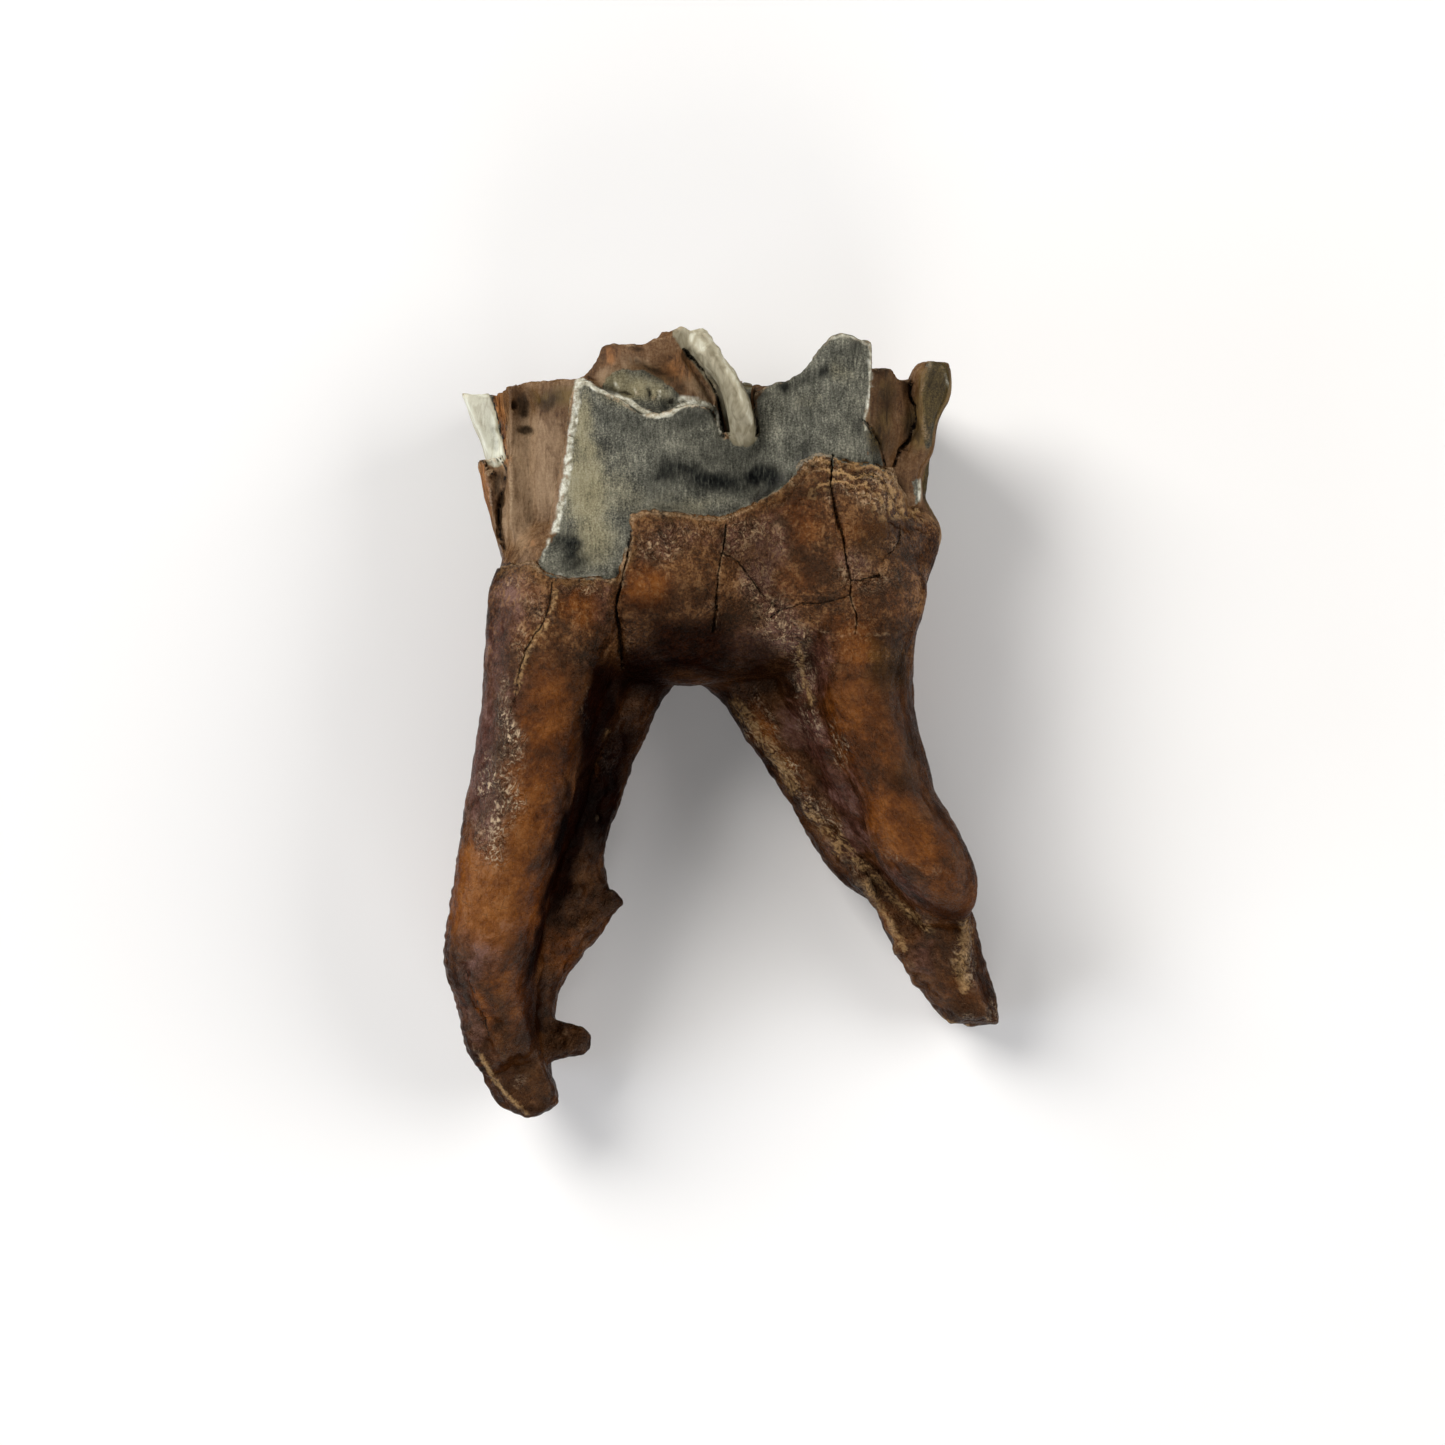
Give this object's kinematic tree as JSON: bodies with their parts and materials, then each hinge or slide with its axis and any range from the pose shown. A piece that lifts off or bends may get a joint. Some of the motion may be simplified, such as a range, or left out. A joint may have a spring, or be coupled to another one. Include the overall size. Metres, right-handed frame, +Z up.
{
  "type": "fossil woolly rhino tooth",
  "caption": "Fossil lower molar of a woolly rhinoceros with a worn, broken crown and spreading roots, lying on its inner side.",
  "frame": {"origin": "middle of the tooth's outline, on the surface it lies on", "axes": "+Y from the roots to the crown, +Z up towards the cheek side, +X towards the back of the tooth"},
  "size_m": [0.0606, 0.085, 0.028],
  "materials": {
    "tooth": "dense brown fossil root cement and dentine with a dull sheen, grey enamel on the crown"
  },
  "bodies": {
    "root": {"tooth": "tooth"}
  },
  "joints": []
}
